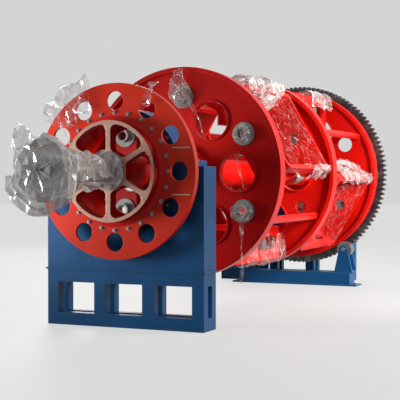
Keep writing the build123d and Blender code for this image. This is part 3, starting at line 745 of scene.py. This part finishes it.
def fin_tree():
    tree = new_tree("cooling_fins", [
        ("Length", "Float", 0.43),
        ("Height", "Float", 0.022),
        ("Root", "Float", 0.007),
        ("Finish", "Material", None),
    ])
    given = tree.nodes.new("NodeGroupInput").outputs
    size = place_node(tree, "ShaderNodeCombineXYZ", {
        "X": given["Root"], "Y": given["Length"], "Z": given["Height"]})
    slab = place_node(tree, "GeometryNodeMeshCube", {"Size": size.outputs[0]})
    spot = place_node(tree, "GeometryNodeInputPosition")
    parts = place_node(tree, "ShaderNodeSeparateXYZ", {0: spot.outputs[0]})
    tip = place_node(tree, "FunctionNodeCompare", {0: parts.outputs["Z"], 1: 0.0},
                     data_type="FLOAT", operation="GREATER_THAN")
    thin = place_node(tree, "ShaderNodeVectorMath", {0: spot.outputs[0], 1: FIN_TAPER},
                      operation="MULTIPLY")
    tapered = place_node(tree, "GeometryNodeSetPosition", {
        "Geometry": slab.outputs["Mesh"], "Selection": tip.outputs[0], "Position": thin.outputs[0]})
    along = place_node(tree, "FunctionNodeAlignRotationToVector", {
        "Rotation": turned_to_face(tree), "Vector": (0, 1, 0)}, axis="Y", pivot_axis="Z")
    spread = place_node(tree, "GeometryNodeInstanceOnPoints", {
        "Points": given["Geometry"], "Instance": tapered.outputs[0], "Rotation": along.outputs[0]})
    real = place_node(tree, "GeometryNodeRealizeInstances", {0: spread.outputs[0]})
    hand_out(tree, real.outputs[0], given["Finish"])
    return tree


# %% [markdown]
# Fins go all the way round the barrel, except where the feet and the terminal box are.

# %% Grow the fins
FINS_ROUND = 48
SHIELD_RIM = 0.012
SHIELD_LENGTH = 0.04
SHIELD_GAP = 0.002
FOOT_HALF, LID_HALF = 0.135, 0.10

barrel = (motor_high.x - motor_low.x) / 2 - SHIELD_RIM
fin_length = motor_high.y - motor_low.y - 2 * (SHIELD_LENGTH + SHIELD_GAP)
fin_ways = []
for k in range(FINS_ROUND):
    way = square_to_axis(1, math.tau * (k + 0.5) / FINS_ROUND)
    covered = LID_HALF if way.z > 0 else FOOT_HALF
    if abs(way.x) * barrel >= covered:
        fin_ways.append(way)
base = facing_points("fin_points", [motor_middle + way * barrel for way in fin_ways], fin_ways)
fins = grow("motor_fins", fin_tree(), base, {"Finish": grey_paint, "Length": fin_length})
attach(fins, "frame")
print("motor fins:", len(fin_ways))

# %% [markdown]
# The grille is rings and bars of wire. A mesh of lines becomes curves, and a small circle is swept along
# them.


# %% Build the grille
def grille_tree():
    tree = new_tree("fan_grille", [
        ("Wire", "Float", 0.0025),
        ("Finish", "Material", None),
    ])
    given = tree.nodes.new("NodeGroupInput").outputs
    lines = place_node(tree, "GeometryNodeMeshToCurve", {"Mesh": given["Geometry"]})
    section = place_node(tree, "GeometryNodeCurvePrimitiveCircle", {
        "Resolution": 6, "Radius": given["Wire"]})
    wires = place_node(tree, "GeometryNodeCurveToMesh", {
        "Curve": lines.outputs[0], "Profile Curve": section.outputs[0], "Fill Caps": True})
    hand_out(tree, wires.outputs[0], given["Finish"])
    return tree


GRILLE_PROUD = 0.004
INNER_RING, RING_STEP, RINGS = 0.030, 0.016, 7
RING_CORNERS = 40
GRILLE_BARS = 8
BAR_OVERHANG = 0.006

points, edges = [], []
back = Vector((shaft.x, motor_high.y + GRILLE_PROUD, shaft.z))
rings = [INNER_RING + RING_STEP * k for k in range(RINGS)]
for radius in rings:
    first = len(points)
    for k in range(RING_CORNERS):
        points.append(back + square_to_axis(radius, math.tau * k / RING_CORNERS))
        edges.append((first + k, first + (k + 1) % RING_CORNERS))
for k in range(GRILLE_BARS):
    way = square_to_axis(1, math.tau * k / GRILLE_BARS)
    points += [back + way * rings[0], back + way * (rings[-1] + BAR_OVERHANG)]
    edges.append((len(points) - 2, len(points) - 1))
base = bpy.data.meshes.new("grille_lines")
base.from_pydata(points, edges, [])
grille = grow("fan_grille", grille_tree(), base, {"Finish": grey_paint})
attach(grille, "frame")
print("fan grille:", len(grille.data.polygons), "faces")

# %% [markdown]
# ## Clear film
#
# The machine is new, and sheets of thin clear film are still tied round its bright parts and hang from its
# cradles. Film like this is stiff for its weight, so it doesn't drape like cloth: it breaks into flat
# facets with sharp creases between them, and each facet that meets a lamp glints. A cloth simulation would
# give soft folds, so the sheets are laid through listed points instead.
#
# Film hides little where it lies flat, and more along its creases and where it is seen from the side; its
# creases are painted white, as painted highlights, and its edge-on parts turn pale, as a painted sheen.
# Four kinds are enough. Most sheets are clear, and those that lie in many layers are cloudy. A thin, darker
# kind, its darkness painted shade, hangs round the lowest cradle, and a tight one is stretched across the
# open faces of two cradles, where the red behind it shows through and its own red tint is a painted red
# cast of that paint.


# %% Clear film finish
CREASE_HIGHLIGHT_WHITE = (0.66, 0.66, 0.66, 1)


def film_finish(name, veil, tint, crease_glint=0.14, sheen=0.45):
    """Thin film. It hides the low veil at its clearest and the high one at its haziest, and takes the two
    tints there. Along creases it hides more, by crease_glint, and is painted white as a painted highlight;
    where it is seen edge-on it hides more, by sheen, as a painted sheen."""
    finish = Finish(name)
    haze = finish.between(finish.cloud(3.5, 3), 0.35, 0.75)
    crease = finish.math("ABSOLUTE", finish.math("SUBTRACT", finish.cloud(7, 1.5), 0.5))
    crease_highlight = finish.between(crease, 0.05, 0.0)
    # Where the film is seen edge-on it turns more opaque and pale: a painted sheen.
    edge_on_sheen = finish.add("ShaderNodeLayerWeight", {"Blend": 0.45}).outputs["Facing"]
    hidden = finish.math("ADD", finish.level(haze, *veil), finish.math("MULTIPLY", crease_highlight, crease_glint))
    finish.set(Alpha=finish.math("ADD", hidden, finish.math("MULTIPLY", edge_on_sheen, sheen)))
    # Along creases the film is painted white: painted highlights.
    finish.set(Base_Color=finish.blend(crease_highlight, finish.blend(haze, *tint), CREASE_HIGHLIGHT_WHITE))
    finish.set(Roughness=0.10, IOR=1.5, Specular_IOR_Level=1.0, Coat_Weight=0.6, Coat_Roughness=0.05)
    finish.relief(finish.cloud(26, 2), 0.005, 0.6)
    return finish.material


clear_film = film_finish("clear_film", (0.10, 0.30), ((0.30, 0.29, 0.28, 1), (0.50, 0.49, 0.48, 1)))
cloudy_film = film_finish("cloudy_film", (0.28, 0.58), ((0.40, 0.37, 0.34, 1), (0.62, 0.60, 0.58, 1)))
# The low sheet's film is darker, as painted shade, with a faint red cast.
shaded_low_film = film_finish("shaded_low_film", (0.03, 0.14), ((0.30, 0.20, 0.18, 1), (0.40, 0.34, 0.32, 1)),
                        crease_glint=0.10, sheen=0.22)
# The tight film's red tint is a painted red cast from the paint behind it.
tight_film_red_cast = film_finish("tight_film_red_cast", (0.0, 0.04), ((0.30, 0.12, 0.10, 1), (0.42, 0.24, 0.22, 1)),
                         crease_glint=0.06, sheen=0.02)
print("made", clear_film.name, cloudy_film.name, shaded_low_film.name, "and", tight_film_red_cast.name)

# %% [markdown]
# Each sheet is a smooth surface through a few rows of points over the piece that it covers. The
# surface is cut into coarse triangles, and their corners are pushed about, so that every triangle
# becomes a facet. A last cut in two adds smaller creases. Some triangles are left out along the open
# edges, so that they look torn.


# %% Crumple a sheet of film
CORNER_SHIFT = 0.6
CREASE_DEPTH = 9
FEWEST_DOWN, FEWEST_OVER, FEWEST_ROUND = 5, 3, 5


def through(points, count, closed=False):
    """Points evenly along a smooth curve (a Catmull-Rom spline) through the given ones."""
    last = len(points) if closed else len(points) - 1
    spots = np.linspace(0, last, count, endpoint=not closed)
    start = np.minimum(spots.astype(int), last - 1)
    t = (spots - start).reshape((-1,) + (1,) * (points.ndim - 1))

    def at(index):
        index = index % len(points) if closed else np.clip(index, 0, len(points) - 1)
        return points[index]

    a, b, c, d = at(start - 1), at(start), at(start + 1), at(start + 2)
    bend = 2 * a - 5 * b + 4 * c - d
    twist = 3 * b - a - 3 * c + d
    return 0.5 * (2 * b + (c - a) * t + bend * t ** 2 + twist * t ** 3)


def film_sheet(name, rows, held, rests_on, seed, facet=0.05, push=0.022, closed=False, ragged=0.5,
               film=clear_film):
    """A crumpled sheet of film through rows of points. A closed one is a bag or a sleeve."""
    rows = np.array([[tuple(point) for point in row] for row in rows])
    length = np.linalg.norm(np.diff(rows, axis=0), axis=2).sum(0).mean()
    width = np.linalg.norm(np.diff(rows, axis=1), axis=2).sum(1).mean()
    down = max(FEWEST_DOWN, round(length / facet))
    over = max(FEWEST_ROUND if closed else FEWEST_OVER, round(width / facet))
    grid = through(through(rows, down).swapaxes(0, 1), over, closed).swapaxes(0, 1)
    chance = np.random.default_rng(seed)
    grid = grid + chance.normal(0, push * CORNER_SHIFT, grid.shape)
    shape = bmesh.new()
    points = [[shape.verts.new(grid[i, j]) for j in range(over)] for i in range(down)]
    for i in range(down - 1):
        for j in range(over if closed else over - 1):
            k = (j + 1) % over
            corners = [points[i][j], points[i + 1][j], points[i + 1][k], points[i][k]]
            if (i + j) % 2:
                corners = corners[1:] + corners[:1]
            rim = i in (0, down - 2) or (not closed and j in (0, over - 2))
            first, second = corners[:3], [corners[2], corners[3], corners[0]]
            shape.faces.new(first)
            if not (rim and chance.random() < ragged):
                shape.faces.new(second)
    bmesh.ops.subdivide_edges(shape, edges=shape.edges, cuts=1, fractal=push * CREASE_DEPTH,
                              along_normal=1.0, seed=seed)
    bmesh.ops.triangulate(shape, faces=shape.faces)
    area = sum(face.calc_area() for face in shape.faces)
    mesh = bpy.data.meshes.new(name)
    shape.to_mesh(mesh)
    shape.free()
    sheet = bpy.data.objects.new(name, mesh)
    bpy.context.scene.collection.objects.link(sheet)
    sheet.data.materials.append(film)
    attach(sheet, "rotor")


# %% [markdown]
# ### Bag on the nose
#
# The largest sheet is pulled over the lay plate like a bag. It sags below the plate, is gathered
# behind it and runs back along the nose shaft to the wheel.

# %% Pull a bag over the nose
BAG = [
    (-1.80, 0.03, 0.00), (-1.79, 0.17, 0.01), (-1.76, 0.27, 0.02), (-1.68, 0.315, 0.03),
    (-1.58, 0.30, 0.04), (-1.48, 0.23, 0.03), (-1.38, 0.16, 0.01), (-1.26, 0.20, 0.02),
    (-1.05, 0.15, 0.0), (-0.86, 0.18, 0.01), (-0.68, 0.15, 0.0), (-0.53, 0.20, 0.0),
]
BAG_POINTS = 16
PLEAT = 0.07
PLEATS_ROUND = 6
PLEAT_TWIST = 0.3

bag_rows = []
for step, (y, radius, sag) in enumerate(BAG):
    row = []
    for k in range(BAG_POINTS):
        angle = k * 360 / BAG_POINTS
        pleat = 1 + PLEAT * math.sin(math.radians(angle) * PLEATS_ROUND + step * PLEAT_TWIST)
        drop = sag * (1 - math.cos(math.radians(angle)))
        row.append(on_rotor(radius * pleat, angle, y) - Vector((0, 0, drop)))
    bag_rows.append(row)
film_sheet("film_nose_bag", bag_rows, "gathered", ["lay_plate", "nose_shaft"], closed=True, seed=3,
           ragged=0.0, facet=0.062, push=0.018, film=cloudy_film)

# %% [markdown]
# The bag's rolled hem runs round the lower edge of the lay plate, and a loose corner of the bag stands
# up beside it. Both are short rows of points across a path, with the path's place, angle and radius.

# %% Add the bag's hem and its loose corner
HEM = [
    (-1.72, 262, 0.30), (-1.74, 244, 0.335), (-1.72, 226, 0.35), (-1.70, 208, 0.37), (-1.71, 190, 0.375),
    (-1.69, 174, 0.36),
]
HEM_ROLL = [(-0.03, -0.05), (0.03, -0.04), (0.05, 0.01), (0.02, 0.06), (-0.03, 0.07)]
TAIL = [
    (-1.62, 304, 0.24, 0.15), (-1.60, 310, 0.33, 0.12), (-1.58, 313, 0.41, 0.10), (-1.56, 315, 0.48, 0.07),
    (-1.53, 319, 0.53, 0.03),
]
TAIL_FOLDS = [(-1, 0.03), (-0.4, -0.04), (0.4, 0.03), (1, -0.03)]

hem_rows = []
for y, degrees, radius in HEM:
    hem_rows.append([on_rotor(radius + out, degrees, y + lean) for out, lean in HEM_ROLL])
film_sheet("film_bag_hem", hem_rows, "hung", ["film_nose_bag"], seed=61, ragged=0.2, facet=0.04,
           push=0.012, film=cloudy_film)
tail_rows = []
for y, degrees, radius, half in TAIL:
    centre = on_rotor(radius, degrees, y)
    tail_rows.append([centre + Vector((side * half, lean, side * half)) for side, lean in TAIL_FOLDS])
film_sheet("film_bag_tail", tail_rows, "hung", ["film_nose_bag"], seed=67, ragged=0.3, facet=0.04,
           push=0.016, film=cloudy_film)

# %% [markdown]
# ### Sheets on the cradles
#
# On the cradles film is laid over the edges and, on the two that face the photograph, stretched across
# the open outer face. Each sheet is given as a path over the cradle, repeated along the machine.


# %% Lay film over the cradles
BAY_MIDDLE = [(DISC_Y[0] + DISC_Y[1]) / 2, (DISC_Y[1] + DISC_Y[2]) / 2]
CRADLE_ROWS = 7
UNEVEN = 0.12
WAVER, WAVES_ACROSS = 0.05, 9
ROW_PHASE = 2.6


def on_cradle(bay, degrees, side, along, out):
    """A point beside a cradle: across its width, along the machine, and outwards from its middle."""
    angle = math.radians(degrees)
    tangent = Vector((math.cos(angle), 0, -math.sin(angle)))
    return on_rotor(CRADLE_PLACE + float(out), degrees, BAY_MIDDLE[bay] + along) + tangent * float(side)


def film_over_cradle(name, bay, degrees, path, stretch, bunch, rests_on, **look):
    """A sheet on a path of (side, out) over a cradle's edge. It bunches up in the middle of its stretch."""
    middle = np.array(path).mean(0)
    rows = []
    for step, share in enumerate(np.linspace(0, 1, CRADLE_ROWS)):
        along = stretch[0] + share * (stretch[1] - stretch[0])
        swell = 1 + bunch * math.sin(math.pi * share) + UNEVEN * math.sin(ROW_PHASE * step + bay)
        row = []
        for side, out in path:
            fuller = middle + (np.array((side, out)) - middle) * swell
            waver = WAVER * math.sin(side * WAVES_ACROSS)
            row.append(on_cradle(bay, degrees, fuller[0], along + waver, fuller[1]))
        rows.append(row)
    film_sheet(name, rows, "draped", rests_on, **look)


film_over_cradle("film_first_bay_top", 0, 60, [
    (-0.44, -0.10), (-0.47, 0.10), (-0.53, 0.23), (-0.62, 0.25), (-0.69, 0.15), (-0.68, 0.00),
    (-0.60, -0.10)], (-0.72, 0.46), 0.16, ["cradle_1"], seed=5, film=cloudy_film)
film_over_cradle("film_first_bay_end", 0, 60, [
    (0.44, 0.00), (0.47, 0.14), (0.53, 0.23), (0.59, 0.21), (0.61, 0.08)],
    (0.10, 0.76), 0.1, ["cradle_1"], seed=8)
film_over_cradle("film_second_bay_top", 1, 0, [
    (0.30, 0.23), (0.42, 0.25), (0.54, 0.27), (0.62, 0.20), (0.62, 0.06)],
    (-0.10, 0.80), 0.08, ["cradle_4"], seed=11)
film_over_cradle("film_second_bay_side", 1, 120, [
    (-0.49, 0.225), (-0.56, 0.225), (-0.595, 0.12), (-0.585, 0.0), (-0.61, -0.12), (-0.585, -0.23)],
    (-0.72, 0.76), 0.06, ["cradle_5"], seed=13, push=0.014)
# This sheet takes the darker film, whose darkness is painted shade.
film_over_cradle("film_first_bay_bottom", 0, 180, [
    (-0.44, 0.23), (-0.52, 0.24), (-0.59, 0.20), (-0.60, 0.06), (-0.60, -0.10)],
    (-0.60, 0.74), 0.0, ["cradle_2"], seed=17, film=shaded_low_film)

# %% [markdown]
# A sheet across an open face spans it from side to side and sinks a little in its middle. The mottled shine
# of the two tight sheets, with their painted red cast, is what makes the bays look filled in from the
# front.

# %% Stretch film across two cradles
COVER = [(-0.50, 0.225), (-0.30, 0.21), (-0.10, 0.20), (0.10, 0.20), (0.30, 0.21), (0.50, 0.225)]
COVER_STRETCH = (-0.70, 0.71)

film_over_cradle("film_first_bay_cover", 0, 60, COVER, COVER_STRETCH, 0.0, ["cradle_1"], seed=23,
                 push=0.016, film=tight_film_red_cast)
film_over_cradle("film_second_bay_cover", 1, 120, COVER, COVER_STRETCH, 0.0, ["cradle_5"], seed=29,
                 push=0.016, film=tight_film_red_cast)

# %% [markdown]
# ### Film on the ring plate
#
# One sheet hangs over the rim of the ring plate on its upper left, and its edge stands up in the air.
# It is a path over the rim, repeated from one angle to another.

# %% Hang film on the ring
RIM_ROWS = 6
RIM_SWAY = 0.03


def film_over_rim(name, degrees, path, rests_on, **look):
    """A sheet over a rim, along a path of (radius, how far behind the ring's face), between two angles."""
    rows = []
    for step, angle in enumerate(np.linspace(degrees[0], degrees[1], RIM_ROWS)):
        sway = RIM_SWAY * math.sin(ROW_PHASE * step)
        rows.append([on_rotor(radius + sway, angle, RING_FACE + behind) for radius, behind in path])
    film_sheet(name, rows, "draped", rests_on, **look)


film_over_rim("film_ring_rim", (304, 340), [
    (0.66, -0.04), (0.78, -0.05), (0.90, -0.07), (1.03, -0.03), (1.02, 0.06), (0.88, 0.12)],
    ["ring_plate"], seed=21)

# %% [markdown]
# ### Film on the guides
#
# The guides on the first disc are bright bushes that strands run through, and each of the three on the
# photograph's side still has its own wrap of film. A wrap is a sleeve that starts round the bush and
# narrows ahead of it, where it is twisted shut.

# %% Wrap the guides on the first disc
GUIDE_LENGTH = 0.09
GUIDE_FRONT = DISC_Y[0] - PLATE_HALF - GUIDE_LENGTH
WRAP_POINTS = 9
WRAP_PLEAT, PLEAT_STEP = 0.14, 3


def film_wrap(name, degrees, path, seed):
    """A sleeve of film round a guide bush, along a path of (radius, how far behind its front, rise)."""
    centre = on_rotor(CRADLE_PLACE, degrees, GUIDE_FRONT)
    rows = []
    for step, (radius, behind, rise) in enumerate(path):
        row = []
        for k in range(WRAP_POINTS):
            reach = radius * (1 + WRAP_PLEAT * math.sin(PLEAT_STEP * k + step))
            across = square_to_axis(reach, math.tau * k / WRAP_POINTS)
            row.append(centre + across + Vector((0, behind, rise)))
        rows.append(row)
    film_sheet(name, rows, "gathered", ["guide_bushes"], closed=True, ragged=0.0, facet=0.035,
               push=0.012, seed=seed)


film_wrap("film_guide_top", 0, [
    (0.12, 0.05, 0.0), (0.13, -0.01, 0.03), (0.12, -0.05, 0.10), (0.07, -0.06, 0.18), (0.05, -0.05, 0.27)],
    seed=31)
film_wrap("film_guide_upper", 60, [
    (0.11, 0.05, 0.0), (0.10, 0.0, 0.0), (0.07, -0.04, -0.01), (0.02, -0.06, -0.02)], seed=34)
film_wrap("film_guide_lower", 120, [
    (0.12, 0.05, 0.0), (0.12, 0.0, 0.0), (0.09, -0.05, -0.02), (0.04, -0.08, -0.06)], seed=37)

# %% [markdown]
# ### Loose strips
#
# Torn strips hang from the wraps and the holes. Each is a narrow ribbon along a few points, which turns
# a little from one point to the next, so that it catches the light in places.


# %% Hang loose strips
TURN, LEAN, LEAN_TURN, TILT = 0.7, 0.4, 1.9, 0.3
CURL = 0.3


def film_strip(name, points, width, rests_on, seed):
    """A narrow strip that hangs along a path and twists a little."""
    rows = []
    for k, point in enumerate(points):
        lean = LEAN * math.sin(LEAN_TURN * k)
        across = Vector((math.cos(TURN * k), lean, TILT * math.sin(TURN * k))) * width / 2
        rows.append([point - across, point + Vector((0, CURL * width, 0)), point + across])
    film_sheet(name, rows, "hung", rests_on, ragged=0.2, facet=0.035, push=0.008, seed=seed)


low_guide = on_rotor(CRADLE_PLACE, 120, GUIDE_FRONT - 0.03)
film_strip("film_long_strip", [
    low_guide + Vector(shift) for shift in (
        (0, 0, -0.05), (0.03, -0.02, -0.22), (0.02, 0.0, -0.42), (0.03, 0.01, -0.62),
        (0.01, -0.01, -0.80))],
    0.05, ["guide_bushes"], seed=41)
film_strip("film_forward_strip", [
    on_rotor(*place) for place in (
        (0.84, 6, GUIDE_FRONT - 0.06), (0.89, 11, 0.92), (0.93, 15, 0.62), (0.96, 19, 0.40),
        (0.98, 21, 0.27))],
    0.12, ["guide_bushes"], seed=43)
film_strip("film_hole_tatter", [
    on_rotor(radius, degrees, RING_FACE + behind) for radius, degrees, behind in (
        (0.98, 24, 0.10), (0.97, 26, 0.03), (0.93, 28, -0.05), (0.84, 29, -0.07), (0.74, 30, -0.06))],
    0.13, ["ring_plate"], seed=44)
film_strip("film_short_strip", [
    on_rotor(radius, degrees, GUIDE_FRONT + behind) for radius, degrees, behind in (
        (0.84, 8, -0.03), (0.72, 14, 0.0), (0.62, 22, 0.03), (0.50, 32, 0.04))],
    0.05, ["guide_bushes"], seed=47)
film_strip("film_hole_strip", [
    Vector((x, DISC_Y[0] + behind, AXIS.z + rise)) for x, behind, rise in (
        (0.66, -0.03, 0.20), (0.67, 0.0, 0.06), (0.70, 0.01, -0.08), (0.73, 0.0, -0.19))],
    0.05, ["disc_1"], seed=53)
